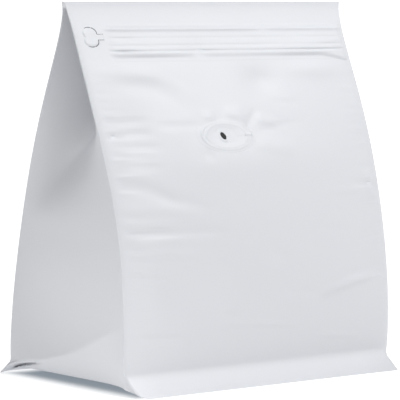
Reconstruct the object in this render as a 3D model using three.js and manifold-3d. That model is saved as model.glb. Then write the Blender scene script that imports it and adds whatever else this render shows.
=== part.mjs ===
// A shut box pouch of roasted coffee: a flat-bottomed bag of matte film that stands by itself.
// The front and back panels lean together into one flat seal along the top. Between them each side
// is a gusset: pushed out by the coffee low down, folded inwards like a V higher up. At the bottom
// the front and back panels flare out into a fin on the table, and between the fins each side
// panel ends in a low arch with a diagonal crease above it.
//
// Millimetres, +Z up. The origin is on the table under the middle of the pouch. The front faces -Y.

import * as THREE from 'three';
import { mergeVertices } from 'three/addons/utils/BufferGeometryUtils.js';
import Module from 'manifold-3d';

// ---- Driving dimensions -------------------------------------------------------------------

const HEIGHT = 225;            // table to the top edge
const BODY_WIDTH = 203.3;      // across the front panel at half height
const WIDTH_GROWTH = 4.9;      // how much wider the panel is at the top than at the bottom
const WIDTH_WAVE = 0.8;        // the gentle in and out of its two edges
const SEAL_SPREAD = 5.8;       // the flat top seal is this much wider than the body below it
const CORNER_PINCH = 2.8;      // the bottom corners are drawn in by this much

const OPENING = 112.7;         // how far the front and back edges part at the bottom
const SEAL_THICKNESS = 1.8;    // the two films of the top seal, slightly parted
const SEAL_END_THICKNESS = 3;  // the ends, where the folded gusset lies between them
const FORWARD_LEAN = 6.3;      // the top edge is this far in front of the middle
const PANEL_BULGE = 9;         // the front and back panels' middles stand proud by this much

const FIN_REACH = 14;          // how far the bottom fins stick out, front and back
const FIN_HEIGHT = 13;         // where a fin starts to leave its panel
const FIN_CORNER = 8;          // the radius of a fin's rounded ends
const ARCH_HEIGHT = 5.2;       // how far the bottom of each side panel is off the table
const ARCH_RUN = 28;           // how far in from the side the bottom panel comes down again
const ARCH_FADE = 20;          // the height at which the side panel no longer follows the arch

const EDGE_SEAL = 0.9;         // half the thickness of the sealed film along the four upright edges
const SIDE_SWELL = 6;          // how far the coffee pushes a side panel out
const CREASE_RISE = 3;         // the diagonal crease above the arch stands out as a soft ridge
const CREASE_HIGH = 40;        // its height at the edge it starts from
const CREASE_LOW = 6;          // its height at the other edge
const CREASE_FALL = 24;        // above it the panel falls back over about this height
const HEM_TUCK = 3;            // and below it the panel runs in under the ridge

const ZIP_LEFT = -81;          // the press-to-close strip, seen from the front
const ZIP_RIGHT = 97;
const ZIP_BOTTOM = 191.5;
const ZIP_TOP = 211;
const ZIP_BASE = 0.5;          // its thickness between the ribs
// its ribs: height of the middle above the table, width, and how far the rib stands out
const ZIP_RIBS = [
  { height: 209, width: 2.2, proud: 0.8 },
  { height: 203, width: 3.4, proud: 0.3 },
  { height: 197.5, width: 1.8, proud: 0.9 },
  { height: 194, width: 2.2, proud: 0.9 },
];

const TAB_MIDDLE = 204.25;     // the height of the tear tab's middle
const TAB_LOBE_X = -92.2;      // its two round lobes
const TAB_LOBE_WIDTH = 4.6;    // half a lobe's width
const TAB_LOBE_HEIGHT = 3.5;   // and half its height
const TAB_LOBE_RISE = 2.4;     // each lobe's middle is this far above or below the tab's middle
const TAB_NECK = 1.7;          // half the height of its neck, which runs to the strip
const TAB_NECK_END = -81.6;
const TAB_THICKNESS = 0.5;

const VALVE_X = -16.3;         // the degassing valve's middle
const VALVE_Z = 146.3;
const VALVE_HALF_WIDTH = 19.2; // an oval disc
const VALVE_HALF_HEIGHT = 8.8;
const VALVE_THICKNESS = 1;
const VALVE_RIM = 0.5;         // the raised ring round it
const SLOT_BESIDE = 2.5;       // the slot the gas leaves by is this far left of the middle
const SLOT_LENGTH = 4.9;       // it is a slanted oval
const SLOT_WIDTH = 3;
const SLOT_DEPTH = 0.8;
const SLOT_SLANT = THREE.MathUtils.degToRad(-56);

const CLEARANCE = 0.3;         // between pieces that lie on each other

const FILM_WHITE = 0xe4e5ea;
const PLASTIC_WHITE = 0xe8e9ed;

const { clamp, smoothstep, lerp } = THREE.MathUtils;

// ---- The pouch's form ---------------------------------------------------------------------

// 0 at the table, 1 at the top edge
function rise(z) {
  return clamp(z / HEIGHT, 0, 1);
}

// Half the distance between a panel's two upright edges
function halfWidth(z) {
  const t = rise(z);
  const wave = WIDTH_WAVE * Math.cos(2 * Math.PI * (t - 0.72) / 0.62);
  const growth = WIDTH_GROWTH * (t - 0.5);
  const spread = SEAL_SPREAD * Math.pow(t, 28);
  const pinch = CORNER_PINCH * Math.max(0, 1 - t / 0.12) ** 2;
  return (BODY_WIDTH + wave + growth + spread - pinch) / 2;
}

// How far apart the front and back edges are. It closes along a curve that is upright at the
// bottom and slopes steadily at the top.
function opening(z) {
  return OPENING * Math.pow(1 - Math.pow(rise(z), 2.35), 1.34);
}

// Half the depth of the section at one height, without the bulge and the fins
function halfDepth(across, z) {
  const end = Math.pow(Math.abs(across), 6);
  return (opening(z) + lerp(SEAL_THICKNESS, SEAL_END_THICKNESS, end)) / 2;
}

// The middle of the section moves to the front on the way up
function middleY(z) {
  return -FORWARD_LEAN * (1 - Math.pow(1 - rise(z), 2.7));
}

// The front and back panels are pushed out between their edges
function panelBulge(across, z) {
  return PANEL_BULGE * Math.pow(Math.sin(Math.PI * rise(z)), 1.5) * (1 - across * across);
}

// The fins leave the panels in a hollow curve and end on the table with rounded corners
function finFlare(across, z) {
  const curve = Math.max(0, 1 - z / FIN_HEIGHT) ** 1.6;
  const fromEnd = (1 - Math.abs(across)) * halfWidth(z);
  const intoCorner = clamp(1 - fromEnd / FIN_CORNER, 0, 1);
  return FIN_REACH * curve * lerp(0.25, 1, Math.sqrt(1 - intoCorner * intoCorner));
}

// How far a side panel lies inside its two upright edges. along is -1 at the front edge and
// 1 at the back edge.
function gussetInset(along, z) {
  const t = rise(z);
  const depth = OPENING + SEAL_END_THICKNESS;
  const folded = smoothstep(t, 0.48, 0.82);
  const openBelowSeal = 1 - smoothstep(t, 0.972, 0.985);
  const straightFold = 0.5 * depth * Math.sqrt(1 - (opening(z) / depth) ** 2);

  // The fold runs down the middle at the top and wanders to the back lower down
  const valley = 0.35 * (1 - smoothstep(t, 0.45, 0.7));
  const away = along < valley ? (valley - along) / (1 + valley) : (along - valley) / (1 - valley);
  const soft = (1 + Math.cos(Math.PI * away)) / 2;
  const sharpness = smoothstep(t, 0.45, 0.8);
  const fold = straightFold * folded * openBelowSeal * lerp(soft, 1 - away, sharpness);

  const swell = SIDE_SWELL * (1 - along * along) * (1 - folded) * smoothstep(t, 0.08, 0.36);
  return fold - swell;
}

// The diagonal crease: a soft ridge that the panel falls back from above and runs in below.
// towardsLow is -1 at the edge where the crease is high and 1 at the other.
function creaseInset(towardsLow, z) {
  const creaseZ = lerp(CREASE_HIGH, CREASE_LOW, (towardsLow + 1) / 2);
  const fade = 1 - towardsLow ** 4;
  if (z >= creaseZ) return -CREASE_RISE * fade * Math.exp(-(z - creaseZ) / CREASE_FALL);
  return fade * lerp(HEM_TUCK, -CREASE_RISE, z / creaseZ);
}

// The side panels' lower edges are arched, and the bottom panel comes down from them to the table
function archLift(across, along, z) {
  const fromSide = (1 - Math.abs(across)) * halfWidth(z);
  const run = 1 - smoothstep(fromSide, 0, ARCH_RUN);
  return ARCH_HEIGHT * run * (1 - along ** 4) * Math.max(0, 1 - z / ARCH_FADE);
}

// A point of the pouch from its place across (-1 left, 1 right), along (-1 front, 1 back) and up.
// onSkin says whether the point is on the front or back skin; the gusset starts behind the seal.
function pouchPoint(across, along, z, onSkin) {
  // Low down, the right side is the left one turned round
  const towardsLow = -along * Math.sign(across);
  const inset = onSkin ? 0 : gussetInset(along, z) + creaseInset(towardsLow, z);
  const x = across * (halfWidth(z) - inset);
  const behindEdge = onSkin ? 0 : EDGE_SEAL;
  const half = halfDepth(across, z) + panelBulge(across, z) + finFlare(across, z);
  const y = middleY(z) + along * (half - behindEdge);
  return new THREE.Vector3(x, y, z + archLift(across, along, z));
}

// The front skin as a surface over x and z, for what lies on it
function frontSkin(x, z) {
  const across = x / halfWidth(z);
  return new THREE.Vector3(x, middleY(z) - halfDepth(across, z) - panelBulge(across, z), z);
}

function frontNormal(x, z) {
  const step = 0.5;
  const alongX = frontSkin(x + step, z).sub(frontSkin(x - step, z));
  const alongZ = frontSkin(x, z + step).sub(frontSkin(x, z - step));
  return alongX.cross(alongZ).normalize();
}

// ---- Shaping helpers ----------------------------------------------------------------------

// Moves every vertex of a geometry to the place that a function gives for it
function shape(geometry, place) {
  const position = geometry.attributes.position;
  const point = new THREE.Vector3();
  for (let i = 0; i < position.count; i += 1) {
    point.fromBufferAttribute(position, i);
    const moved = place(point);
    position.setXYZ(i, moved.x, moved.y, moved.z);
  }
  geometry.computeVertexNormals();
  return geometry;
}

// Spreads steps from 0 to 1 so that they crowd towards both ends
function crowdEnds(step, crowding) {
  return step - crowding * Math.sin(2 * Math.PI * step) / (2 * Math.PI);
}

// Lays a flat piece on the front skin: its x is x, its y is height and its z is how far it is
// above the clearance
function layOnFront(geometry) {
  return shape(geometry, (p) => {
    const normal = frontNormal(p.x, p.y);
    return frontSkin(p.x, p.y).addScaledVector(normal, CLEARANCE + p.z);
  });
}

function film(color, roughness) {
  return new THREE.MeshStandardMaterial({ color, roughness, metalness: 0 });
}

// ---- The pouch ----------------------------------------------------------------------------

function makePouch() {
  const columns = 24;
  const layers = 12;
  const rows = 32;
  const box = new THREE.BoxGeometry(2, 2, 1, columns, layers, rows);
  shape(box, (p) => {
    const across = 2 * crowdEnds((p.x + 1) / 2, 0.6) - 1;
    const layer = Math.round((p.y + 1) / 2 * layers);
    const z = HEIGHT * crowdEnds(p.z + 0.5, 0.75);
    const onSkin = layer === 0 || layer === layers;
    const along = onSkin ? Math.sign(p.y) : 2 * (layer - 1) / (layers - 2) - 1;
    return pouchPoint(across, along, z, onSkin);
  });
  const pouch = new THREE.Mesh(box, film(FILM_WHITE, 0.55));
  pouch.name = 'pouch';
  return pouch;
}

// ---- The press-to-close strip -------------------------------------------------------------

// How far the strip's face is above its back at one height
function zipRelief(height) {
  let relief = ZIP_BASE;
  for (const rib of ZIP_RIBS) {
    const away = (height - rib.height) / (rib.width / 2);
    relief += rib.proud * Math.exp(-away * away);
  }
  return relief;
}

function makeZip() {
  const length = ZIP_RIGHT - ZIP_LEFT;
  const tall = ZIP_TOP - ZIP_BOTTOM;
  const strip = new THREE.BoxGeometry(length, tall, 1, 24, 22, 1);
  strip.translate(ZIP_LEFT + length / 2, ZIP_BOTTOM + tall / 2, 0.5);
  shape(strip, (p) => new THREE.Vector3(p.x, p.y, p.z * zipRelief(p.y)));
  const zip = new THREE.Mesh(layOnFront(strip), film(PLASTIC_WHITE, 0.5));
  zip.name = 'zip_strip';
  return zip;
}

// ---- The tear tab -------------------------------------------------------------------------

// Two round lobes, one above the other, and a neck that runs from between them to the strip
function makeTab() {
  const neckAngle = Math.asin((TAB_LOBE_RISE - TAB_NECK) / TAB_LOBE_HEIGHT);
  const width = TAB_LOBE_WIDTH;
  const height = TAB_LOBE_HEIGHT;
  const turn = 2 * Math.PI;
  const outline = new THREE.Shape();
  outline.moveTo(TAB_NECK_END, TAB_NECK);
  outline.absellipse(TAB_LOBE_X, TAB_LOBE_RISE, width, height, -neckAngle, Math.PI, false, 0);
  outline.absellipse(TAB_LOBE_X, -TAB_LOBE_RISE, width, height, Math.PI, turn + neckAngle, false, 0);
  outline.lineTo(TAB_NECK_END, -TAB_NECK);
  outline.closePath();
  const plate = new THREE.ExtrudeGeometry(outline, {
    depth: TAB_THICKNESS,
    bevelEnabled: false,
    curveSegments: 14,
  });
  plate.translate(0, TAB_MIDDLE, 0);
  const tab = new THREE.Mesh(layOnFront(plate), film(PLASTIC_WHITE, 0.5));
  tab.name = 'tear_tab';
  return tab;
}

// ---- The degassing valve ------------------------------------------------------------------

const wasm = await Module();
wasm.setup();

function toSolid(geometry) {
  const bare = geometry.clone();
  bare.deleteAttribute('normal');
  bare.deleteAttribute('uv');
  const merged = mergeVertices(bare);
  return new wasm.Manifold(new wasm.Mesh({
    numProp: 3,
    vertProperties: Float32Array.from(merged.attributes.position.array),
    triVerts: Uint32Array.from(merged.index.array),
  }));
}

function fromSolid(solid) {
  const mesh = solid.getMesh();
  const geometry = new THREE.BufferGeometry();
  geometry.setAttribute('position', new THREE.BufferAttribute(mesh.vertProperties, 3));
  geometry.setIndex(new THREE.BufferAttribute(mesh.triVerts, 1));
  geometry.computeVertexNormals();
  return geometry;
}

// An oval disc with a raised ring near its edge and a slanted slot sunk beside its middle. It is
// made flat, with its face along +Z, and then turned to face out of the front panel.
function makeValve() {
  const outer = VALVE_HALF_WIDTH;
  const profile = [
    new THREE.Vector2(0, 0),
    new THREE.Vector2(outer, 0),
    new THREE.Vector2(outer, 0.35 * VALVE_THICKNESS),
    new THREE.Vector2(0.95 * outer, VALVE_THICKNESS + VALVE_RIM),
    new THREE.Vector2(0.89 * outer, VALVE_THICKNESS + VALVE_RIM),
    new THREE.Vector2(0.85 * outer, 0.8 * VALVE_THICKNESS),
    new THREE.Vector2(0.5 * outer, VALVE_THICKNESS),
    new THREE.Vector2(0, 1.1 * VALVE_THICKNESS),
  ];
  const disc = new THREE.LatheGeometry(profile, 40);
  disc.rotateX(Math.PI / 2);
  disc.scale(1, VALVE_HALF_HEIGHT / VALVE_HALF_WIDTH, 1);

  const slot = new THREE.CylinderGeometry(1, 1, 2 * SLOT_DEPTH, 20);
  slot.rotateX(Math.PI / 2);
  slot.scale(SLOT_LENGTH / 2, SLOT_WIDTH / 2, 1);
  slot.rotateZ(SLOT_SLANT);
  slot.translate(-SLOT_BESIDE, 0, 1.1 * VALVE_THICKNESS);

  const valve = new THREE.Mesh(fromSolid(toSolid(disc).subtract(toSolid(slot))), film(PLASTIC_WHITE, 0.45));
  valve.name = 'valve';

  // The panel bulges outwards, so the flat disc touches it at the disc's middle only
  const normal = frontNormal(VALVE_X, VALVE_Z);
  const right = new THREE.Vector3(1, 0, 0).addScaledVector(normal, -normal.x).normalize();
  const up = new THREE.Vector3().crossVectors(normal, right);
  valve.quaternion.setFromRotationMatrix(new THREE.Matrix4().makeBasis(right, up, normal));
  valve.position.copy(frontSkin(VALVE_X, VALVE_Z)).addScaledVector(normal, CLEARANCE);
  return valve;
}

// ---- The whole object ---------------------------------------------------------------------

const coffeePouch = new THREE.Group();
coffeePouch.add(makePouch(), makeZip(), makeTab(), makeValve());

export default coffeePouch;
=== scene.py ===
# %% [markdown]
# # A box pouch of coffee, finished in Blender
#
# The object is a shut, filled coffee pouch that stands on its own flat bottom: matte white film,
# a press-to-close strip under the top seal, a tear tab at its left end and an oval degassing
# valve. The CAD model gives every piece its place and size. This lesson makes the same pieces
# again as fine, slightly creased film, so that light runs over them as it does over real film.
#
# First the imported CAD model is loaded. It is the fixed frame that everything else is set in, and
# its box is kept, because the finished pouch has to be as large as that.

# %% Load the frame
import math

import bmesh
import bpy
import numpy as np
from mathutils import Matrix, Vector


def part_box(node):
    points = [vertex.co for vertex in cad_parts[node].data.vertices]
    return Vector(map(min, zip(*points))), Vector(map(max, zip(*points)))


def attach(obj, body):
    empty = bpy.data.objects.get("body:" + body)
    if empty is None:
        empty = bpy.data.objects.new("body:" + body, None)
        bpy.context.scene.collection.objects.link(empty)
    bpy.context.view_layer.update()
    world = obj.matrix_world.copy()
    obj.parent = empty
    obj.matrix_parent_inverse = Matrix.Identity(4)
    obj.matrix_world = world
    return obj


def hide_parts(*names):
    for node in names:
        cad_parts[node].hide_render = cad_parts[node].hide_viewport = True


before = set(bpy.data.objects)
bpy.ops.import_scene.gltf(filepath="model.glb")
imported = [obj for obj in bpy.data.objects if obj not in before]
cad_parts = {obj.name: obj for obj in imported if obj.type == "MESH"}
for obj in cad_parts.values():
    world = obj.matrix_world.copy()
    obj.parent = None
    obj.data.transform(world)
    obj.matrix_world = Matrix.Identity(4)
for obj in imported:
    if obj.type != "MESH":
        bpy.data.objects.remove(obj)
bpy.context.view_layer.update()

# %% [markdown]
# ## Sizes
#
# The forms below are worked out in millimetres, which suit a pouch, and become metres when a
# mesh is filled. The height comes from the frame. The other sizes are those the CAD model was
# drawn from, because a box alone can't give them: how far the panels part towards the bottom,
# how the body swells, and how the fins flare.

# %% The pouch's sizes
MM = 0.001
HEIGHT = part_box("pouch")[1][2] / MM
BODY_WIDTH = 203.3        # across the front panel at half height
WIDTH_GROWTH = 4.9        # wider at the top than at the bottom
WIDTH_WAVE = 0.8          # the gentle in and out of the panel's edges
SEAL_SPREAD = 5.8         # the flat top seal is wider still
CORNER_PINCH = 2.8        # the bottom corners are drawn in
OPENING = 112.7           # front edge to back edge at the bottom
SEAL_THICKNESS = 1.8
SEAL_END_THICKNESS = 3
FORWARD_LEAN = 6.3        # the top edge is this far in front of the middle
PANEL_BULGE = 9
FIN_REACH = 14            # the bottom fins stick out this far, front and back
FIN_HEIGHT = 13
FIN_CORNER = 8            # over this length the front and back fins lose reach at a rounded end
ARCH_HEIGHT = 5.2         # the side panels' lower edges are this far off the table
ARCH_RUN = 28             # the arch goes this far in under the pouch
ARCH_FADE = 20            # and is lost at this height
EDGE_SEAL = 0.9           # the gussets start this far inside the front and back films
SIDE_SWELL = 6            # the coffee pushes the side panels out by this much
CREASE_RISE = 3.4         # the diagonal crease low on each side stands out as a soft ridge
CREASE_FRONT = 40         # its height at the gusset's front edge
CREASE_BACK = 1.5         # and at its back edge
CREASE_SAG = 3.5          # in between it hangs a little below the straight line
CREASE_FALL = 22          # above it the panel falls back over about this height
HEM_TUCK = 3.2            # and below it the panel runs in under the ridge
print("height", round(HEIGHT, 1), "mm")

# %% [markdown]
# ## Light and camera
#
# The camera's place was worked out from the pouch's outline: it looks from the front left, a
# little from above, through a long lens, so that upright edges stay nearly upright. A long lens
# a metre and a half away also keeps the far fin nearly as large as the near one.

# %% The camera
PICTURE = 400             # the picture is this many pixels square
FOCAL_PIXELS = 2570
SENSOR = 36
YAW = math.radians(38.08)
PITCH = math.radians(4.32)
DISTANCE = 6.944 * HEIGHT * MM           # from the point the camera looks at,
AIM_HEIGHT = 0.465 * HEIGHT * MM         # which is this far above the floor
AIM_SIDE = 0.001 * HEIGHT * MM           # and this far to the right of the pouch's middle
CLIP_END = 200


def make_camera():
    level = math.cos(PITCH)
    back = Vector((-math.sin(YAW) * level, -math.cos(YAW) * level, math.sin(PITCH)))
    right = Vector((math.cos(YAW), -math.sin(YAW), 0))
    data = bpy.data.cameras.new("camera")
    data.sensor_width = SENSOR
    data.lens = FOCAL_PIXELS / PICTURE * SENSOR
    data.clip_end = CLIP_END
    camera = bpy.data.objects.new("camera", data)
    camera.location = right * AIM_SIDE + Vector((0, 0, AIM_HEIGHT)) + back * DISTANCE
    camera.rotation_euler = back.to_track_quat("Z", "Y").to_euler()
    bpy.context.collection.objects.link(camera)
    bpy.context.scene.camera = camera
    return camera


camera = make_camera()
print("camera", round(DISTANCE, 3), "m away, lens", round(camera.data.lens), "mm")

# %% [markdown]
# White film on a white floor is shaped by light alone, and most of that light comes up off the
# floor, so film that leans over the floor is lighter and film that leans back is darker. Two
# broad soft lamps high on the left and the front right add to it. The right one is stronger and
# can't reach into the left gusset, so the fold there stays in shade. A square lamp near the top
# lifts the seal and the zip, and a small low one at the left edge lifts the fins and the arch.
# The surroundings add a little light from everywhere.

# %% The light
def lamp_direction(azimuth, elevation):
    """Azimuth 0 is straight in front of the pouch, 90 is to its right."""
    turn, lift = math.radians(azimuth), math.radians(elevation)
    return Vector((math.sin(turn) * math.cos(lift), -math.cos(turn) * math.cos(lift), math.sin(lift)))


def place_lamp(name, data, spot, towards):
    lamp = bpy.data.objects.new(name, data)
    lamp.location = spot
    lamp.rotation_euler = towards.to_track_quat("Z", "Y").to_euler()
    bpy.context.collection.objects.link(lamp)
    return lamp


def soft_sun(name, azimuth, elevation, spread, strength):
    """A broad lamp far away. Its spread is in degrees."""
    towards = lamp_direction(azimuth, elevation)
    data = bpy.data.lights.new(name, "SUN")
    data.energy = strength
    data.angle = math.radians(spread)
    return place_lamp(name, data, towards, towards)


def soft_box(name, azimuth, elevation, distance, height, size, power):
    """A square lamp near the pouch, aimed at a height in metres: what is nearer is brighter."""
    towards = lamp_direction(azimuth, elevation)
    data = bpy.data.lights.new(name, "AREA")
    data.energy = power
    data.size = size
    return place_lamp(name, data, towards * distance + Vector((0, 0, height)), towards)


soft_sun("lamp_left", azimuth=-110, elevation=52, spread=40, strength=1.12)
soft_sun("lamp_right", azimuth=30, elevation=52, spread=40, strength=2.05)
soft_box("lamp_front", azimuth=40, elevation=60, distance=0.75, height=0.1, size=0.5, power=1.85)
soft_box("lamp_low", azimuth=-62, elevation=6, distance=0.24, height=0.01, size=0.08, power=0.034)

SURROUNDINGS_STRENGTH = 0.04
world = bpy.data.worlds.new("surroundings")
world.use_nodes = True
background = world.node_tree.nodes["Background"]
background.inputs["Color"].default_value = (1, 1, 1, 1)
background.inputs["Strength"].default_value = SURROUNDINGS_STRENGTH
bpy.context.scene.world = world
bpy.context.scene.view_settings.view_transform = "Standard"

# %% [markdown]
# ## Writing materials as sums
#
# A finish is a small network of nodes. Written out node by node it is long and hard to read, so
# one class stands for a value in the network: adding or multiplying two of them adds the Math
# node. Every other kind of node comes from one method.

# %% Values that add their own Math nodes
class Flow:
    """A value somewhere in a finish's network."""

    def __init__(self, finish, output):
        self.finish = finish
        self.output = output

    def __add__(self, other):
        return self.finish.math("ADD", self, other)

    def __radd__(self, other):
        return self.finish.math("ADD", other, self)

    def __sub__(self, other):
        return self.finish.math("SUBTRACT", self, other)

    def __rsub__(self, other):
        return self.finish.math("SUBTRACT", other, self)

    def __mul__(self, other):
        return self.finish.math("MULTIPLY", self, other)

    def __rmul__(self, other):
        return self.finish.math("MULTIPLY", other, self)


class Finish:
    """One material: a Principled shader and the network that feeds it."""

    def __init__(self, name, colour, roughness):
        self.material = bpy.data.materials.new(name)
        self.material.use_nodes = True
        self.material.diffuse_color = (*colour, 1)
        self.tree = self.material.node_tree
        self.shader = self.tree.nodes["Principled BSDF"]
        self.feed("Base Color", (*colour, 1))
        self.feed("Roughness", roughness)

    def node(self, kind, settings=None, inputs=None, output=0):
        """Adds a node: its settings first, then the values or links of its sockets."""
        node = self.tree.nodes.new(kind)
        for key, value in (settings or {}).items():
            setattr(node, key, value)
        for key, value in (inputs or {}).items():
            self.set_socket(node.inputs[key], value)
        return Flow(self, node.outputs[output])

    def math(self, operation, *values):
        return self.node("ShaderNodeMath", {"operation": operation}, dict(enumerate(values)))

    def set_socket(self, socket, value):
        if isinstance(value, Flow):
            self.tree.links.new(value.output, socket)
        else:
            socket.default_value = value

    def feed(self, name, value):
        self.set_socket(self.shader.inputs[name], value)


print("finishes can be written as sums")

# %% [markdown]
# ## The film's finish
#
# Pouch film is a laminate whose outside is a matte plastic. It isn't perfectly even: it is a
# little cooler in colour where it is thin, its sheen varies, and its surface has a fine tooth
# and shallow handling dents. The folds, creases and puckers are in the mesh. The tooth and the
# dents are far too fine for that, so noise on the object's coordinates makes them as bump.

# %% The film
FILM_COLOUR = (0.62, 0.631, 0.66)
FILM_SHADE = (0.595, 0.608, 0.642)      # where the film is thinnest
ROUGHNESS = 0.5
ROUGHNESS_DIP, ROUGHNESS_SPREAD = 0.04, 0.1
CLOUDS, DENTS, TOOTH = (14, 3), (75, 4), (1500, 2)      # each noise's scale and detail
DENT_SHARE, TOOTH_SHARE = 0.35, 0.02
BUMP_STRENGTH = 0.35
BUMP_METRES = 0.0006


def mix_colours(finish, factor, first, second):
    """The colour that a Mix node makes. Its colour sockets go by number, since they share names."""
    inputs = {"Factor": factor, 6: (*first, 1), 7: (*second, 1)}
    return finish.node("ShaderNodeMix", {"data_type": "RGBA"}, inputs, output=2)


def noise(finish, where, scale, detail):
    inputs = {"Vector": where, "Scale": scale, "Detail": detail}
    return finish.node("ShaderNodeTexNoise", inputs=inputs)


def film_finish(name):
    film = Finish(name, FILM_COLOUR, ROUGHNESS)
    where = film.node("ShaderNodeTexCoord", output="Object")
    clouds = noise(film, where, *CLOUDS)
    film.feed("Base Color", mix_colours(film, clouds * 0.5, FILM_COLOUR, FILM_SHADE))
    film.feed("Roughness", ROUGHNESS - ROUGHNESS_DIP + clouds * ROUGHNESS_SPREAD)
    height = noise(film, where, *TOOTH) * TOOTH_SHARE + noise(film, where, *DENTS) * DENT_SHARE
    relief = {"Strength": BUMP_STRENGTH, "Distance": BUMP_METRES, "Height": height}
    film.feed("Normal", film.node("ShaderNodeBump", inputs=relief))
    return film


pouch_film = film_finish("pouch_film")
print("film nodes:", len(pouch_film.tree.nodes))

# %% [markdown]
# ## Helpers for shaping
#
# The pouch and its zip strip start as a plain block with many faces, cut by one operator along
# each of its axes. A function then moves the corners, all of them at once, to where the film is.
# Three small functions of numbers serve all the forms below: a soft step, a mixture of two
# values, and one that crowds rows together where the form bends most.

# %% Cutting and moving
def runs_along(edge, axis):
    start, end = edge.verts
    return abs(start.co[axis] - end.co[axis]) > 1e-6


def cut_block(columns, layers, rows):
    """A block from -1 to 1 with its faces cut into columns, layers and rows."""
    shape = bmesh.new()
    bmesh.ops.create_cube(shape, size=2)
    for axis, parts in enumerate((columns, layers, rows)):
        if parts > 1:
            along = [edge for edge in shape.edges if runs_along(edge, axis)]
            bmesh.ops.subdivide_edges(shape, edges=along, cuts=parts - 1)
    return shape


def move_corners(shape, place):
    """Moves every corner to place(x, y, z), which works on whole columns of numbers."""
    corners = np.array([v.co[:] for v in shape.verts])
    moved = np.stack(place(*corners.T), axis=1)
    for corner, spot in zip(shape.verts, moved):
        corner.co = spot


def film_object(name, shape, finish, sharp_angle=50):
    """Turns a shape in millimetres into a smooth object in metres."""
    bmesh.ops.scale(shape, vec=(MM, MM, MM), verts=shape.verts)
    bmesh.ops.recalc_face_normals(shape, faces=shape.faces)
    mesh = bpy.data.meshes.new(name)
    shape.to_mesh(mesh)
    shape.free()
    mesh.shade_smooth()
    mesh.set_sharp_from_angle(angle=math.radians(sharp_angle))
    mesh.materials.append(finish.material)
    thing = bpy.data.objects.new(name, mesh)
    bpy.context.collection.objects.link(thing)
    return thing


def smoothstep(value, low, high):
    t = np.clip((value - low) / (high - low), 0, 1)
    return t * t * (3 - 2 * t)


def blend(low, high, share):
    return low + (high - low) * share


def crowd_ends(step, crowding):
    """Moves steps from 0 to 1 towards both ends."""
    return step - crowding * np.sin(2 * np.pi * step) / (2 * np.pi)


print("shaping helpers are ready")

# %% [markdown]
# ## The pouch's form
#
# Each function below is one fact about the bag: how wide it is at a height, how far its front
# and back edges are apart, how the panels bulge, how the fins flare, and how the gussets fold.
# Together they place any point of its skin.

# %% The four upright edges
# these are shares of the pouch's height, and powers that say how a change is spread
WAVE_CREST, WAVE_LENGTH = 0.72, 0.62
PINCH_TOP = 0.12          # the corners are drawn in below this
SPREAD_POWER = 28         # so high that the seal's spread starts just below it
TAPER_POWERS = (2.35, 1.34)
SEAL_END_POWER = 6        # the top seal thickens close to its ends
LEAN_POWER = 2.7


def rise(z):
    return np.clip(z / HEIGHT, 0, 1)


def half_width(z):
    t = rise(z)
    wave = WIDTH_WAVE * np.cos(2 * np.pi * (t - WAVE_CREST) / WAVE_LENGTH)
    growth = WIDTH_GROWTH * (t - 0.5)
    spread = SEAL_SPREAD * t ** SPREAD_POWER
    pinch = CORNER_PINCH * np.maximum(0, 1 - t / PINCH_TOP) ** 2
    return (BODY_WIDTH + wave + growth + spread - pinch) / 2


def opening(z):
    """How far the front and back edges are apart."""
    inner, outer = TAPER_POWERS
    return OPENING * (1 - rise(z) ** inner) ** outer


def half_depth(across, z):
    """Half the depth before the panels bulge. across is -1 at the left edge, 1 at the right."""
    seal = blend(SEAL_THICKNESS, SEAL_END_THICKNESS, np.abs(across) ** SEAL_END_POWER)
    return (opening(z) + seal) / 2


def middle_y(z):
    return -FORWARD_LEAN * (1 - (1 - rise(z)) ** LEAN_POWER)


# %% The front and back panels
EDGE_STRIP = 2.6          # the sealed edges roll back over about this width
EDGE_STEP = 1.1           # and by this much
SEAL_START, SEAL_FLAT = 0.9, 0.99        # the roll fades out between these shares of the height
BULGE_POWER = 1.5
FIN_POWER = 1.6           # a fin's section is a hollow curve,
EAR_POWER = 0.8           # and an ear's is nearly straight
EAR_SHARE = 0.85          # how fully a fin flares at the end where it curls into an ear
EAR_HEIGHT = 7.5
EAR_RUN = 4
ROUNDED_SHARE = 0.12      # and at the other end
CORNER_LIFT = 3.8         # the fins' lower corners are rounded off
CORNER_RUN = 7


def from_edge(across, z):
    """How far in from the nearer upright edge."""
    return (1 - np.abs(across)) * half_width(z)


def panel_bulge(across, z):
    """How far a panel stands proud of the line between its two edges."""
    swell = PANEL_BULGE * np.sin(np.pi * rise(z)) ** BULGE_POWER * (1 - across * across)
    below_seal = 1 - smoothstep(rise(z), SEAL_START, SEAL_FLAT)
    return swell + EDGE_STEP * (1 - np.exp(-from_edge(across, z) / EDGE_STRIP)) * below_seal


def fin_flare(across, z, facing):
    """facing is -1 for the front fin, 1 for the back one. Each makes an ear at one end."""
    curve = np.maximum(0, 1 - z / FIN_HEIGHT) ** FIN_POWER
    ear = EAR_SHARE * np.maximum(0, 1 - z / EAR_HEIGHT) ** EAR_POWER
    is_ear = across * facing < 0
    at_end = np.where(is_ear, ear, ROUNDED_SHARE * curve)
    into_corner = np.clip(1 - from_edge(across, z) / np.where(is_ear, EAR_RUN, FIN_CORNER), 0, 1)
    return FIN_REACH * blend(at_end, curve, np.sqrt(1 - into_corner ** 2))


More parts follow.
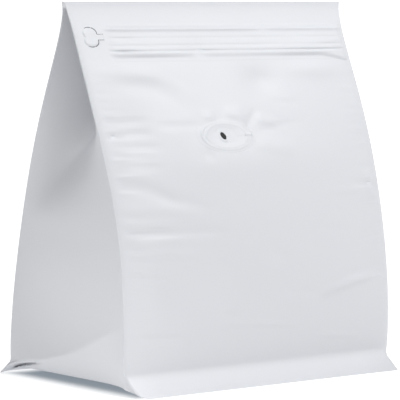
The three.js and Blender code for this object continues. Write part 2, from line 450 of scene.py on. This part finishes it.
# %% The side gussets
# along a gusset, -1 is its front edge and 1 its back one; up it, these are shares of the height
CREASE_END_POWER = 6      # the crease dies away close to the gusset's edges
FIN_EDGE_POWER = 8        # and the arch close to the fins
POCKET_DEPTH = 7          # the open pocket where the crease meets an ear
POCKET_HEIGHT = 1.5       # half its height
POCKET_START, POCKET_DEEP = 0.3, 0.85
POCKET_SHUTS, POCKET_END = 0.93, 1
FOLD_START, FOLD_FULL = 0.43, 0.88
FOLD_SHUTS, FOLD_END = 0.972, 0.985      # the top seal presses the fold flat
SHARP_START, SHARP_FULL = 0.45, 0.8      # the fold's soft valley turns into a sharp one
VALLEY = 0.35             # low down the valley lies behind the middle
VALLEY_LEAVES, VALLEY_CENTRED = 0.45, 0.7
SWELL_START, SWELL_FULL = 0.08, 0.36


def crease_height(along):
    """The diagonal crease runs down almost straight from the front edge to the back."""
    share = (along + 1) / 2
    return blend(CREASE_FRONT, CREASE_BACK, share) - CREASE_SAG * np.sin(np.pi * share)


def crease_inset(along, z):
    """The ridge along the crease, and the hem that runs in below it."""
    crease_z = crease_height(along)
    above = -CREASE_RISE * np.exp(-np.maximum(0, z - crease_z) / CREASE_FALL)
    below = blend(HEM_TUCK, -CREASE_RISE, z / crease_z)
    return (1 - along ** CREASE_END_POWER) * np.where(z >= crease_z, above, below)


def pocket_inset(along, z):
    """Under the upper film's lip the film runs in again, the deeper the nearer the ear."""
    deepens = smoothstep(along, POCKET_START, POCKET_DEEP)
    shuts = smoothstep(along, POCKET_SHUTS, POCKET_END)
    off = (z - crease_height(along) + POCKET_HEIGHT) / POCKET_HEIGHT
    return POCKET_DEPTH * deepens * (1 - shuts) * np.exp(-off ** 2)


def fold_depth(z):
    """The film keeps its length, so the nearer its edges are, the further its middle goes in."""
    flat = OPENING + SEAL_END_THICKNESS
    return 0.5 * flat * np.sqrt(1 - (opening(z) / flat) ** 2)


def fold_section(along, t):
    """The fold seen from above: 1 in its valley, 0 at the gusset's two edges."""
    valley = VALLEY * (1 - smoothstep(t, VALLEY_LEAVES, VALLEY_CENTRED))
    away = np.where(along < valley, (valley - along) / (1 + valley), (along - valley) / (1 - valley))
    soft = (1 + np.cos(np.pi * away)) / 2
    return blend(soft, 1 - away, smoothstep(t, SHARP_START, SHARP_FULL))


def gusset_inset(along, z):
    """How far a side panel lies inside its edges."""
    t = rise(z)
    folded = smoothstep(t, FOLD_START, FOLD_FULL)
    below_seal = 1 - smoothstep(t, FOLD_SHUTS, FOLD_END)
    fold = fold_depth(z) * folded * below_seal * fold_section(along, t)
    filled = (1 - folded) * smoothstep(t, SWELL_START, SWELL_FULL)
    return fold - SIDE_SWELL * (1 - along ** 2) * filled


def side_lift(across, along, z):
    """The side panel's lower edge is an arch, and the fins' lower corners are rounded."""
    from_side = from_edge(across, z)
    low = np.maximum(0, 1 - z / ARCH_FADE)
    on_fin = along ** FIN_EDGE_POWER
    arch = ARCH_HEIGHT * (1 - smoothstep(from_side, 0, ARCH_RUN)) * (1 - on_fin)
    corner = CORNER_LIFT * np.maximum(0, 1 - from_side / CORNER_RUN) ** 2 * on_fin
    is_rounded = across * along > 0
    return low * (arch + np.where(is_rounded, corner, 0))


print("width at half height", round(2 * float(half_width(HEIGHT / 2)), 1), "mm")

# %% [markdown]
# ## Creases in the film
#
# Film that has been filled, sealed and handled keeps shallow creases. Each one here is a ridge or
# a groove along a line, given by its two ends, its width and how high it stands, and it may bow
# upwards in the middle. It fades out towards its ends. Broad soft swellings and dents lie between
# them. Beside the sealed edges the film puckers into short level ripples, because the straight
# seal is a little shorter than the bulging panel.

# %% Creases and puckers
# ends (x, z) and (x, z), width, rise and bow, in millimetres
CREASES = [
    # the arc over the left of the body
    ((-86, 176), (-36, 160), 4.2, -0.5, 6),
    ((-74, 181), (-28, 166), 3.2, 0.4, 6),
    # the tight bands across the left, and the grooves under them
    ((-102, 121), (-60, 110), 3.8, -0.75, 2),
    ((-76, 114), (-38, 105), 3.2, -0.45, 0),
    ((-100, 108), (-46, 103), 3.4, 0.4, 0),
    ((-104, 97), (-62, 98), 2.2, 0.45, 0),
    ((-100, 93.5), (-66, 93), 1.5, -0.8, 0),
    ((-92, 91), (-26, 91.5), 2.3, -0.8, 0.8),
    ((-96, 87), (-56, 88.5), 2.0, 0.5, 0),
    ((-96, 81), (-44, 79), 2.2, 0.4, 0),
    ((-96, 76.5), (-64, 77), 1.5, -0.45, 0),
    ((-94, 67), (-70, 67), 1.3, -0.5, 0),
    ((-92, 32.5), (-58, 31.5), 1.6, -0.45, 0),
    # beside the left edge
    ((-98, 155), (-68, 156), 1.5, -0.5, 0),
    ((-98, 148), (-66, 149), 1.6, -0.6, 0),
    ((-98, 141), (-64, 141), 1.7, -0.6, 0),
    ((-98, 135.5), (-70, 135), 1.4, -0.4, 0),
    ((-100, 131), (-66, 129.5), 1.6, -0.5, 0),
    ((-98, 125), (-74, 124), 1.4, 0.3, 0),
    # round the valve
    ((-64, 153), (-30, 152.5), 1.8, -0.6, 0),
    ((-1, 149), (12, 160.5), 1.8, -0.9, 0),
    ((4, 147), (46, 152.5), 1.2, -0.5, 1),
    ((-29, 158), (-21, 157), 2.6, 0.9, 0),
    ((-12, 159), (2, 158), 3.6, 1.1, 0),
    ((8, 156), (26, 152.5), 2.6, 0.8, 0),
    ((-37, 137), (-29, 134), 3.0, -0.6, 0),
    ((2, 142), (36, 136), 4.5, 0.8, 0),
    # the right of the body
    ((76, 114), (104, 113), 1.6, -0.6, 0),
    ((54, 110.5), (90, 110.5), 1.6, 0.5, 0),
    ((58, 98.5), (86, 98), 1.8, -0.35, 0),
    ((34, 90), (66, 87), 2.0, -0.35, 0),
    ((72, 84), (92, 84), 1.2, -0.25, 0),
    ((72, 76), (92, 76.5), 1.2, -0.25, 0),
    ((44, 49), (92, 57.5), 2.4, 1.6, 2.5),
    ((12, 55), (46, 50), 2.2, -0.3, 0),
    ((26, 164.5), (50, 164), 1.5, -0.35, 0),
    # low on the body
    ((-30, 37.5), (26, 33), 1.3, 0.3, 0),
    ((40, 25), (76, 22), 1.4, 0.3, 0),
    ((3, 75.5), (17, 75), 2.4, -0.5, 0),
    ((-34, 43), (-20, 42), 1.6, -0.35, 0),
]
# middle (x, z), half extents (x, z) and rise
SWELLINGS = [
    (-66, 184, 24, 5, 1.0),
    (68, 184, 20, 5, 1.2),
    (22, 177, 13, 7.5, -2.0),
    (-80, 150, 12, 16, -1.2),
    (-50, 150, 14, 12, 0.8),
    (-6, 132, 60, 13, 1.5),
    (-78, 56, 11, 13, -1.0),
    (-28, 64, 16, 13, -0.7),
    (94, 114, 6, 8, 0.8),
]
CREASE_FADE = 1.5         # how fast a crease dies away at its ends
PUCKER_RISE = 0.26
PUCKER_INSET, PUCKER_REACH = 7, 9        # from the upright edge
PUCKER_MIDDLE, PUCKER_HALF_HEIGHT = 112, 62
# each ripple's turn per millimetre up and across, where it starts, and its share
RIPPLES = [(1.9, 0, 0.4, 1), (1.27, 0.02, 2, 1), (0.71, 0.05, 0, 0.6)]
PLAIN_EDGE, RELIEF_FULL = 1, 8           # the sealed edge itself has no relief
BACK_SHARE = 0.6          # the back's creases are this much of the front's


def crease_relief(x, z):
    relief = np.zeros_like(x)
    for (x0, z0), (x1, z1), width, height, bow in CREASES:
        run = np.hypot(x1 - x0, z1 - z0)
        ux, uz = (x1 - x0) / run, (z1 - z0) / run
        share = 2 * ((x - x0) * ux + (z - z0) * uz) / run - 1
        off = (z - z0) * ux - (x - x0) * uz - bow * (1 - share ** 2)
        relief += height * np.exp(-CREASE_FADE * share ** 4 - (off / width) ** 2)
    return relief


def swelling_relief(x, z):
    relief = np.zeros_like(x)
    for mx, mz, rx, rz, height in SWELLINGS:
        relief += height * np.exp(-(((x - mx) / rx) ** 2) - ((z - mz) / rz) ** 2)
    return relief


def pucker_relief(x, z):
    in_from_edge = half_width(z) - np.abs(x)
    ripple = sum(share * np.sin(z * up + x * side + start) for up, side, start, share in RIPPLES)
    strong = np.exp(-((z - PUCKER_MIDDLE) / PUCKER_HALF_HEIGHT) ** 4)
    near = np.exp(-((in_from_edge - PUCKER_INSET) / PUCKER_REACH) ** 2)
    return PUCKER_RISE * ripple * strong * near


def inside_edges(x, z):
    return smoothstep(half_width(z) - np.abs(x), PLAIN_EDGE, RELIEF_FULL)


def front_relief(x, z):
    relief = crease_relief(x, z) + swelling_relief(x, z) + pucker_relief(x, z)
    return inside_edges(x, z) * relief


def back_relief(x, z):
    """The back panel has been handled in the same way, but less."""
    return inside_edges(x, z) * (BACK_SHARE * crease_relief(-x, z) + pucker_relief(-x, z))


def front_skin(x, z, proud=0.0):
    """The point of the front skin at x and z, or one that stands proud of it."""
    across = x / half_width(z)
    half = half_depth(across, z) + panel_bulge(across, z) + fin_flare(across, z, -1)
    return x, middle_y(z) - half - front_relief(x, z) - proud, z


print("creases:", len(CREASES), "swellings:", len(SWELLINGS))

# %% [markdown]
# ## The pouch
#
# The block's front and back faces become the two panels, its left and right faces the gussets,
# its lower face the bottom panel and its upper face the top edge. Rows crowd towards the fins
# and the top seal, and columns towards the upright edges, where the form bends most.

# %% The pouch's film
COLUMNS = 140
LAYERS = 62
ROWS = 160
CROWDING = 0.35


def place_pouch(x, y, z):
    across = 2 * crowd_ends((x + 1) / 2, CROWDING) - 1
    height = HEIGHT * crowd_ends((z + 1) / 2, CROWDING)
    layer = np.rint((y + 1) / 2 * LAYERS)
    in_front, behind = layer == 0, layer == LAYERS
    on_skin = in_front | behind
    along = np.where(on_skin, np.sign(y), 2 * (layer - 1) / (LAYERS - 2) - 1)
    # low down the right side is the left one turned round, so its ear is at the front
    turned = along * -np.sign(across)
    inset = gusset_inset(along, height) + crease_inset(turned, height) + pocket_inset(turned, height)
    px = across * (half_width(height) - np.where(on_skin, 0, inset))
    flare = fin_flare(across, height, np.where(along < 0, -1, 1))
    half = half_depth(across, height) + panel_bulge(across, height) + flare
    py = middle_y(height) + along * (half - np.where(on_skin, 0, EDGE_SEAL))
    py -= np.where(in_front, front_relief(px, height), 0)
    py += np.where(behind, back_relief(px, height), 0)
    return px, py, height + side_lift(across, along, height)


shape = cut_block(COLUMNS, LAYERS, ROWS)
move_corners(shape, place_pouch)
pouch = film_object("pouch_body", shape, pouch_film)
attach(pouch, "root")
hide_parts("pouch")
print("pouch faces:", len(pouch.data.polygons))

# %% [markdown]
# ## The zip strip
#
# A press-to-close strip is two plastic profiles sealed between the films, so from outside only
# its ribs show, as level lines pressed through the front film. It is a sheet of its own here,
# with much finer rows than the pouch, because its ribs are about a millimetre tall. It comes up
# softly out of the film at its left end and runs into the edge seal at its right, where its lower
# lines sag. All round, its border dips just under the pouch's skin, so no outline shows.

# %% The zip strip's sheet
ZIP_LEFT, ZIP_RIGHT = -86, 101
ZIP_BOTTOM, ZIP_TOP = 189, 212.5
ZIP_COLUMNS, ZIP_ROWS = 150, 72
DIP = 0.15                # how far a sheet's border lies under the skin
FINE_SHARP_ANGLE = 60     # the small pieces stay smooth up to this angle
# height, half width and rise of each rib, then where it is stronger or weaker: (x, reach, more)
RIBS = [
    (208.9, 1.2, 0.8, [(-71, 10, 0.4), (-32, 14, 0.2), (37, 5, -0.6), (8, 18, 0.3)]),
    (203.4, 0.8, -0.2, [(-70, 10, 1.2)]),
    (199.1, 0.8, -0.2, [(-60, 25, 0.5), (88, 12, 1.6)]),
    (195.8, 0.7, -0.38, [(-72, 9, 1.8), (-14, 9, 0.9), (72, 26, 1.6)]),
]
LOWER_STRENGTH = [(-56, 24, 1.3), (-18, 5, -0.9), (10, 16, 0.1), (66, 28, 1.7)]
STRIP_RISE = 0.75
LOWER_EDGE = (191.6, 194.6)              # the strip comes up out of the film between these heights
UPPER_EDGE = (208.4, 211.0)              # and goes down into it again between these
STRIP_MIDDLE = (194, 208)                # its strength changes from the lower edge's to the upper's
LEFT_END, RIGHT_END = (-84, -74), (97, 101)
SAG_DEPTH = 3.5                          # the lower edge sags towards its right end
SAG_START, SAG_RUN, SAG_LIMIT, SAG_POWER = 76, 20, 1.2, 1.6
SAG_HEIGHTS = (191.5, 196)
ZIP_PROUD = 0.06                         # how far the sheet lies off the pouch's film
ZIP_DEPTH = 0.6                          # its hidden back lies inside the pouch
BORDER_START = 0.9


def stronger(x, places):
    return 1 + sum(more * np.exp(-(((x - middle) / reach) ** 2)) for middle, reach, more in places)


def zip_relief(x, z):
    sagging = np.clip((x - SAG_START) / SAG_RUN, 0, SAG_LIMIT) ** SAG_POWER
    sag = SAG_DEPTH * sagging * (1 - smoothstep(z, *SAG_HEIGHTS))
    lower = STRIP_RISE * stronger(x, LOWER_STRENGTH) * smoothstep(z + sag, *LOWER_EDGE)
    upper = STRIP_RISE * (1 - smoothstep(z, *UPPER_EDGE))
    relief = blend(lower, upper, smoothstep(z, *STRIP_MIDDLE))
    for height, width, proud, places in RIBS:
        relief += proud * stronger(x, places) * np.exp(-(((z - height) / width) ** 2))
    return relief * smoothstep(x, *LEFT_END) * (1 - smoothstep(x, *RIGHT_END))


def place_zip(x, y, z):
    px = blend(ZIP_LEFT, ZIP_RIGHT, (x + 1) / 2)
    pz = blend(ZIP_BOTTOM, ZIP_TOP, (z + 1) / 2)
    border = smoothstep(np.maximum(np.abs(x), np.abs(z)), BORDER_START, 1)
    proud = ZIP_PROUD + zip_relief(px, pz) - (ZIP_PROUD + DIP) * border
    return front_skin(px, pz, np.where(y < 0, proud, -ZIP_DEPTH))


zip_film = film_finish("zip_film")
shape = cut_block(ZIP_COLUMNS, 1, ZIP_ROWS)
move_corners(shape, place_zip)
zip_strip = film_object("zip_ribs", shape, zip_film, FINE_SHARP_ANGLE)
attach(zip_strip, "root")
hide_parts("zip_strip")
print("zip faces:", len(zip_strip.data.polygons))

# %% [markdown]
# ## Discs on the front panel
#
# The tear tab and the valve are both flat discs with an outline of their own. A disc starts as a
# grid, one side of which becomes the outline and the other the middle, so that its spokes and
# rings can be moved by functions too.

# %% Cutting a disc
def cut_disc(spokes, rings, place):
    """place(turn, ring) gives a point: turn runs 0 to 1 round the disc, ring 0 to 1 outwards."""
    shape = bmesh.new()
    bmesh.ops.create_grid(shape, x_segments=spokes, y_segments=rings, size=1)
    move_corners(shape, lambda x, y, z: place((x + 1) / 2, (y + 1) / 2))
    bmesh.ops.remove_doubles(shape, verts=shape.verts, dist=1e-4)
    return shape


def finish_disc(name, shape, film, painted_shade_finish, has_painted_shade):
    """Makes the object, with its faces turned to the front and those with painted shade marked."""
    thing = film_object(name, shape, film, FINE_SHARP_ANGLE)
    mesh = thing.data
    mesh.materials.append(painted_shade_finish.material)
    if sum(face.normal.y for face in mesh.polygons) > 0:
        mesh.flip_normals()
    for face in mesh.polygons:
        face.material_index = int(has_painted_shade(face.center.x / MM, face.center.z / MM))
    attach(thing, "root")
    return thing


# %% [markdown]
# ## The tear tab
#
# The tab is a piece of the film itself, two round lobes on a short neck, inside a laser-cut
# outline. A person pulls it to tear the pouch open above the zip. The cut is a narrow groove round
# the disc, clearest round the lobes' right sides and fading on the left, where the lobes sit
# flush. Except at its far left, the groove's faces next to the outline are painted near black as
# painted shade in the cut, so that it shows as a fine dark line.

# %% The tear tab's outline
TAB_X, TAB_MIDDLE = -92.2, 204.25
LOBE_HALF_WIDTH, LOBE_HALF_HEIGHT = 5.2, 3.5
LOBE_RISE = 2.4           # each lobe's middle is this far above or below the tab's
NECK_HALF_HEIGHT = 1.75
NECK_END = -82.6
# shares of half the outline: the neck's end is passed at the first, and the lobe starts at the second
END_SHARE, LOBE_SHARE = 0.08, 0.3


def tab_outline(turn):
    """turn starts at the middle of the neck's end, and goes first round the upper lobe."""
    lobe_start = -math.asin((LOBE_RISE - NECK_HALF_HEIGHT) / LOBE_HALF_HEIGHT)
    lobe_end = math.pi + math.asin(LOBE_RISE / LOBE_HALF_HEIGHT)
    neck_start = TAB_X + LOBE_HALF_WIDTH * math.cos(lobe_start)
    upper = turn < 0.5
    share = np.where(upper, turn, 1 - turn) * 2
    up_end = np.clip(share / END_SHARE, 0, 1)
    along_neck = np.clip((share - END_SHARE) / (LOBE_SHARE - END_SHARE), 0, 1)
    round_lobe = np.clip((share - LOBE_SHARE) / (1 - LOBE_SHARE), 0, 1)
    angle = blend(lobe_start, lobe_end, round_lobe)
    on_lobe = share > LOBE_SHARE
    lobe_x = TAB_X + LOBE_HALF_WIDTH * np.cos(angle)
    lobe_z = LOBE_RISE + LOBE_HALF_HEIGHT * np.sin(angle)
    x = np.where(on_lobe, lobe_x, blend(NECK_END, neck_start, along_neck))
    from_middle = np.where(on_lobe, lobe_z, NECK_HALF_HEIGHT * up_end)
    return x, TAB_MIDDLE + np.where(upper, 1, -1) * from_middle


# %% The tear tab's disc
TAB_SPOKES = 144
TAB_LEVELS = [0.26, 0.26, 0.26, 0.24, 0.05, 0.02]      # each ring's rise, from the middle outwards
CUT_RING = 4              # the rings from this one outwards lie in the cut
INNER_RINGS = (0.6, 0.3)  # the two rings next to the middle, as shares of the way in
CUT = 0.55                # the cut's width where it is clear
FAINT_SHARE = 0.35        # and how much of that is left where it is faint
FAINT_X, CLEAR_X = -97.5, -90
CUT_SLOPE = 0.45          # the film slopes down to the cut over this width
LOBE_PROUD = 0.16         # the lobes stand a little higher than the neck between them
LOBE_LOW, LOBE_HIGH = 0.6, 2.6
PAINTED_SHADE_REACH = 0.33         # the painted shade in the cut: how near to the outline, and from where to where
PAINTED_SHADE_LEFT, PAINTED_SHADE_RIGHT = -95, -83


def place_tab(turn, ring):
    step = np.rint(ring * (len(TAB_LEVELS) - 1)).astype(int)
    ox, oz = tab_outline(turn)
    reach = np.hypot(ox - TAB_X, oz - TAB_MIDDLE)
    cut = CUT * blend(FAINT_SHARE, 1, smoothstep(ox, FAINT_X, CLEAR_X))
    insets = [reach, *(reach * share for share in INNER_RINGS), cut + CUT_SLOPE, cut, 0 * reach]
    outwards = np.where(step == 0, 0, 1 - np.choose(step, insets) / reach)
    x, z = blend(TAB_X, ox, outwards), blend(TAB_MIDDLE, oz, outwards)
    lobe = LOBE_PROUD * smoothstep(np.abs(z - TAB_MIDDLE), LOBE_LOW, LOBE_HIGH)
    return front_skin(x, z, np.choose(step, TAB_LEVELS) + np.where(step < CUT_RING, lobe, 0))


def in_painted_cut_shade(x, z):
    """Whether painted shade goes here, in the clear part of the cut."""
    ox, oz = tab_outline(np.linspace(0, 1, TAB_SPOKES + 1))
    return PAINTED_SHADE_LEFT < x < PAINTED_SHADE_RIGHT and np.hypot(ox - x, oz - z).min() < PAINTED_SHADE_REACH


tab_film = film_finish("tab_film")
# painted shade: the cut's faces next to the outline are near black, standing in for shade in the
# groove
painted_cut_shade = Finish("tab_cut_painted_shade", (0.09, 0.095, 0.11), 0.6)
shape = cut_disc(TAB_SPOKES, len(TAB_LEVELS) - 1, place_tab)
tab = finish_disc("tear_tab_disc", shape, tab_film, painted_cut_shade, in_painted_cut_shade)
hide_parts("tear_tab")
print("tab faces:", len(tab.data.polygons))

# %% [markdown]
# ## The valve
#
# The degassing valve is a plastic disc stuck behind the film, so its rim shows as a soft double
# ring pressed through it. Coffee gives off gas after roasting, and the gas leaves through the
# small slanted slot left of the ring's middle. The slot is a flat patch painted near black, as
# painted shade for its inside.

# %% The valve's slot
SLOT_X, SLOT_Z = -18.8, 146.1
SLOT_HALF_LENGTH, SLOT_HALF_WIDTH = 2.3, 1.7
SLOT_SLANT = math.radians(-56)
SLOT_EDGE = 1.02          # faces whose middle is on the slot's edge get the painted shade too


def slot_outline(angle):
    along = SLOT_HALF_LENGTH * np.cos(angle - SLOT_SLANT)
    beside = SLOT_HALF_WIDTH * np.sin(angle - SLOT_SLANT)
    x = SLOT_X + along * math.cos(SLOT_SLANT) - beside * math.sin(SLOT_SLANT)
    z = SLOT_Z + along * math.sin(SLOT_SLANT) + beside * math.cos(SLOT_SLANT)
    return x, z


def in_slot(x, z):
    dx, dz = x - SLOT_X, z - SLOT_Z
    along = dx * math.cos(SLOT_SLANT) + dz * math.sin(SLOT_SLANT)
    beside = -dx * math.sin(SLOT_SLANT) + dz * math.cos(SLOT_SLANT)
    return (along / SLOT_HALF_LENGTH) ** 2 + (beside / SLOT_HALF_WIDTH) ** 2 < SLOT_EDGE


print("slot:", 2 * SLOT_HALF_LENGTH, "by", 2 * SLOT_HALF_WIDTH, "mm")

# %% The film over the valve
VALVE_X, VALVE_Z = -16.3, 146.3
VALVE_HALF_WIDTH, VALVE_HALF_HEIGHT = 17.6, 8.1
# from here on, a place r is a share of the way from the valve's middle to its ring
VALVE_SKIRT = 1.25        # the film slopes down outside the ring, as far as this
SLOPE_END = 1.23
VALVE_RISE, RISE_EDGE = 0.3, 0.85
SKIRT_RISE, SKIRT_RISE_RIGHT, SKIRT_EDGE = 0.05, 0.3, 0.9
DISH_DEPTH, DISH_FLOOR, DISH_EDGE = 0.75, 0.1, 0.95
RIDGES = [(1.02, 0.75), (0.84, 0.7)]     # the double ring: where each ridge is, and its rise
RIDGE_WIDTH = 0.045
FAINT, MORE_RIGHT, MORE_LEFT = 0.08, 1.5, 0.7      # how clear the ring is
RIGHT_TURN, RIGHT_SPREAD, RIGHT_LIMIT = 0.75, 1.3, -0.3      # where it is clearer, in radians
LEFT_TURN, LEFT_POWER = 2.95, 6
LIP_RISE, LIP_PLACE, LIP_WIDTH = 0.6, 0.6, 0.9     # round the slot, in millimetres


def right_share(angle):
    """Highest straight to the right of the valve's middle, and 0 well away from there."""
    turned = angle + RIGHT_TURN
    is_near = np.cos(turned) > RIGHT_LIMIT
    return np.where(is_near, np.maximum(np.cos(turned / RIGHT_SPREAD), 0) ** 2, 0)


def valve_relief(r, angle, from_slot):
    """How far the film stands out over the valve. Its ring is clearest at the right and the left."""
    right = right_share(angle)
    left = np.maximum(np.cos(angle - LEFT_TURN), 0) ** LEFT_POWER
    strong = FAINT + MORE_RIGHT * right ** 2 + MORE_LEFT * left
    disc = VALVE_RISE * (1 - smoothstep(r, RISE_EDGE, SLOPE_END))
    skirt = (SKIRT_RISE + SKIRT_RISE_RIGHT * right) * (1 - smoothstep(r, SKIRT_EDGE, SLOPE_END))
    dish = DISH_DEPTH * (1 - smoothstep(r, DISH_FLOOR, DISH_EDGE))
    ridges = sum(proud * np.exp(-(((r - place) / RIDGE_WIDTH) ** 2)) for place, proud in RIDGES)
    lip = LIP_RISE * np.exp(-(((from_slot - LIP_PLACE) / LIP_WIDTH) ** 2))
    return disc + skirt - dish + strong * ridges + lip


print("ridges in the valve's ring:", len(RIDGES))

# %% The valve's disc
SLOT_RINGS, VALVE_RINGS = 3, 40
VALVE_SPOKES = 128
RING_POWER = 0.8          # the rings lie closer together towards the outside
SLOT_LEVEL, VALVE_LEVEL = 0.08, 0.05     # how far the slot and the film lie off the pouch's film


def place_valve(turn, ring):
    """The inner rings fill the slot, and the others run from its edge to the skirt's."""
    angle = 2 * np.pi * turn
    step = np.rint(ring * (VALVE_RINGS + SLOT_RINGS))
    sx, sz = slot_outline(angle)
    ox = VALVE_X + VALVE_HALF_WIDTH * VALVE_SKIRT * np.cos(angle)
    oz = VALVE_Z + VALVE_HALF_HEIGHT * VALVE_SKIRT * np.sin(angle)
    inside = step < SLOT_RINGS
    to_slot_edge = np.clip(step / (SLOT_RINGS - 1), 0, 1)
    to_skirt = np.clip((step - SLOT_RINGS) / VALVE_RINGS, 0, 1) ** RING_POWER
    px = np.where(inside, blend(SLOT_X, sx, to_slot_edge), blend(sx, ox, to_skirt))
    pz = np.where(inside, blend(SLOT_Z, sz, to_slot_edge), blend(sz, oz, to_skirt))
    r = np.hypot((px - VALVE_X) / VALVE_HALF_WIDTH, (pz - VALVE_Z) / VALVE_HALF_HEIGHT)
    relief = valve_relief(r, angle, np.hypot(px - sx, pz - sz))
    proud = np.where(inside, SLOT_LEVEL, VALVE_LEVEL + relief)
    return front_skin(px, pz, np.where(to_skirt >= 1, -DIP, proud))


valve_film = film_finish("valve_film")
# painted shade: near black standing in for the shade inside the slot
painted_slot_shade = Finish("painted_slot_shade", (0.004, 0.004, 0.005), 0.7)
shape = cut_disc(VALVE_SPOKES, VALVE_RINGS + SLOT_RINGS, place_valve)
valve = finish_disc("valve_disc", shape, valve_film, painted_slot_shade, in_slot)
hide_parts("valve")
print("valve faces:", len(valve.data.polygons))

# %% [markdown]
# ## The floor
#
# A plain pale plane that reaches far beyond the picture, and far behind it a low white wall, all
# the way round, so that the floor has no dark edge. The floor gives off a pale light of its own,
# as a lit studio sheet does, but not under the pouch: there the light dies away into a soft cool
# contact shadow, which is mixed by how far a point is from the pouch's middle. Both are stage:
# they aren't part of the object.

# %% The floor's and the wall's finishes
FLOOR_GREY, FLOOR_ROUGHNESS, FLOOR_GLOW = 0.3, 0.8, 0.92
WALL_GREY, WALL_ROUGHNESS, WALL_GLOW = 0.9, 0.9, 0.9
PAINTED_CONTACT_SHADOW = (0.2, 0.23, 0.26)           # painted contact shadow: what is left of the glow under the pouch
GLOW_START = (0.097, 0.065)              # where it is half way up, in metres from the middle
GLOW_RUN = 0.022
WHITE = (1, 1, 1)


def metres_past(paint, where, axis, start):
    """How far a point lies past start, to either side of the middle."""
    side = paint.node("ShaderNodeSeparateXYZ", inputs={"Vector": where}, output=axis)
    return paint.math("ABSOLUTE", side) - start


def floor_finish():
    paint = Finish("floor_paint", (FLOOR_GREY,) * 3, FLOOR_ROUGHNESS)
    where = paint.node("ShaderNodeTexCoord", output="Object")
    beside = metres_past(paint, where, "X", GLOW_START[0])
    before = metres_past(paint, where, "Y", GLOW_START[1])
    share = (paint.math("MAXIMUM", before, beside) + GLOW_RUN / 2) * (1 / GLOW_RUN)
    glow = paint.node("ShaderNodeMapRange", {"interpolation_type": "SMOOTHSTEP"}, {"Value": share})
    # painted contact shadow: the floor's glow dies away under and near the pouch
    paint.feed("Emission Color", mix_colours(paint, glow, PAINTED_CONTACT_SHADOW, WHITE))
    paint.feed("Emission Strength", FLOOR_GLOW)
    return paint


def wall_finish():
    paint = Finish("wall_paint", (WALL_GREY,) * 3, WALL_ROUGHNESS)
    paint.feed("Emission Color", (*WHITE, 1))
    paint.feed("Emission Strength", WALL_GLOW)
    return paint


floor_paint, wall_paint = floor_finish(), wall_finish()
print("stage finishes:", floor_paint.material.name, "and", wall_paint.material.name)

# %% The floor and the wall round it
FLOOR_REACH = 60.0
WALL_RADIUS = 0.98 * FLOOR_REACH
WALL_HEIGHT = 1.2
WALL_SIDES = 64


def staged(name, shape, finish):
    mesh = bpy.data.meshes.new(name)
    shape.to_mesh(mesh)
    shape.free()
    mesh.materials.append(finish.material)
    thing = bpy.data.objects.new(name, mesh)
    bpy.context.collection.objects.link(thing)
    return thing


shape = bmesh.new()
bmesh.ops.create_grid(shape, x_segments=1, y_segments=1, size=FLOOR_REACH)
floor = staged("floor", shape, floor_paint)

shape = bmesh.new()
bmesh.ops.create_circle(shape, segments=WALL_SIDES, radius=WALL_RADIUS)
rim = bmesh.ops.extrude_edge_only(shape, edges=shape.edges[:])
raised = [part for part in rim["geom"] if isinstance(part, bmesh.types.BMVert)]
bmesh.ops.translate(shape, verts=raised, vec=(0, 0, WALL_HEIGHT))
wall = staged("wall", shape, wall_paint)
print("stage:", floor.name, "and", wall.name)
